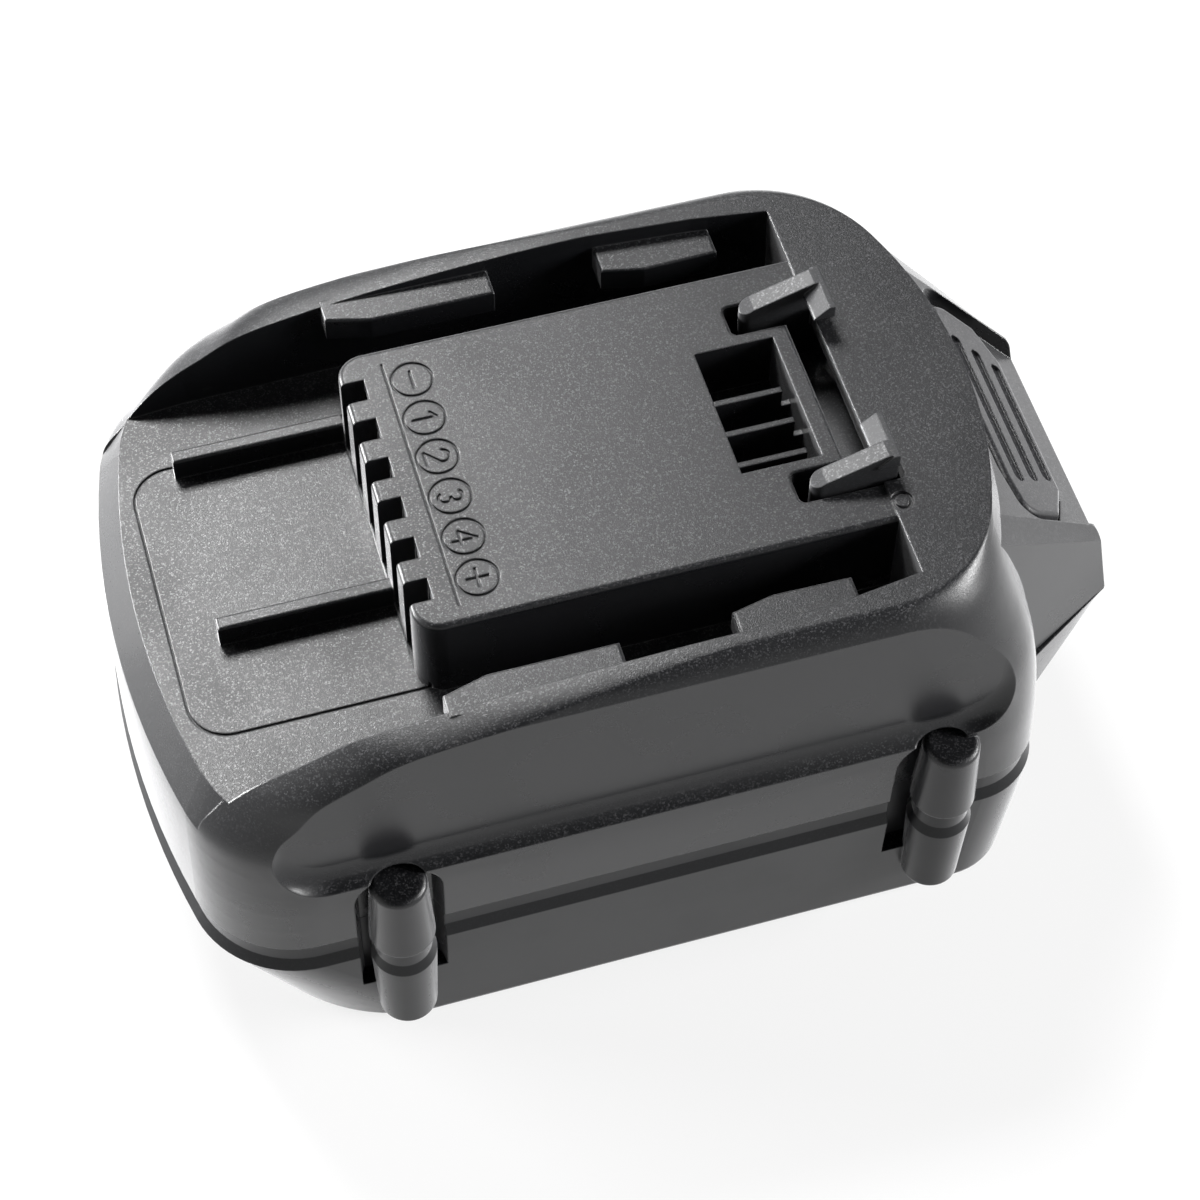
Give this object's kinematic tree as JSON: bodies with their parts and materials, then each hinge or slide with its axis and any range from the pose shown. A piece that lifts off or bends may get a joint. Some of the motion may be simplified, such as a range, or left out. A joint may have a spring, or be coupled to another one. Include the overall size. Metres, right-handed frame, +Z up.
{
  "type": "power tool battery",
  "caption": "Slide-on lithium-ion battery pack for a cordless power tool, with guide channels, a slotted contact block and a sprung two-hook release latch.",
  "frame": {"origin": "middle of the footprint, on the surface that the pack stands on", "axes": "+X along the pack towards the release button, +Z up from the base to the contact side, +Y to the side of the minus contact"},
  "size_m": [0.1284, 0.085, 0.0703],
  "materials": {
    "shell_plastic": "charcoal moulded plastic, coarse spark-eroded grain on top, satin sides",
    "latch_plastic": "grey glass-filled plastic, fine satin",
    "button_plastic": "charcoal moulded plastic, fine grain",
    "spring_steel": "bright drawn wire",
    "frame_plastic": "black moulded plastic",
    "fish_paper": "pale insulating paper",
    "foam": "closed-cell foam",
    "board_laminate": "green lacquered glass laminate",
    "chip_resin": "moulded epoxy",
    "carrier_plastic": "dark moulded plastic",
    "contact_brass": "pressed, slightly dull",
    "nickel": "bright strip",
    "cell_can": "lacquered sleeve over the can",
    "screw_steel": "zinc-plated"
  },
  "bodies": {
    "pack": {"upper_shell": "shell_plastic", "lower_shell": "shell_plastic", "latch_spring_far": "spring_steel", "latch_spring_near": "spring_steel", "cell_frame_far": "frame_plastic", "cell_frame_near": "frame_plastic", "side_insulator_far": "fish_paper", "side_insulator_near": "fish_paper", "insulating_sheet": "fish_paper", "foam_pad": "foam", "circuit_board": "board_laminate", "power_transistors": "chip_resin", "controller_chip": "chip_resin", "fuse": "chip_resin", "thermistor": "chip_resin", "contact_carrier": "carrier_plastic", "case_screws": "screw_steel", "board_screws": "screw_steel", "cell_1": "cell_can", "cell_2": "cell_can", "cell_3": "cell_can", "cell_4": "cell_can", "cell_5": "cell_can", "cell_6": "cell_can", "cell_7": "cell_can", "cell_8": "cell_can", "cell_9": "cell_can", "cell_10": "cell_can", "nickel_strip_1": "nickel", "nickel_strip_2": "nickel", "nickel_strip_3": "nickel", "nickel_strip_4": "nickel", "nickel_strip_5": "nickel", "nickel_strip_6": "nickel", "contact_1": "contact_brass", "contact_2": "contact_brass", "contact_3": "contact_brass", "contact_4": "contact_brass", "contact_5": "contact_brass", "contact_6": "contact_brass"},
    "latch": {"latch_hooks": "latch_plastic", "release_button": "button_plastic"}
  },
  "joints": [
    {"name": "latch_press", "type": "slide", "parent": "pack", "child": "latch", "axis": [0, 0, -1], "range_m": [0, 0.0022], "stiffness_N_per_m": 3000, "springref_m": -0.003, "deforming": ["latch_spring_far", "latch_spring_near"]}
  ]
}
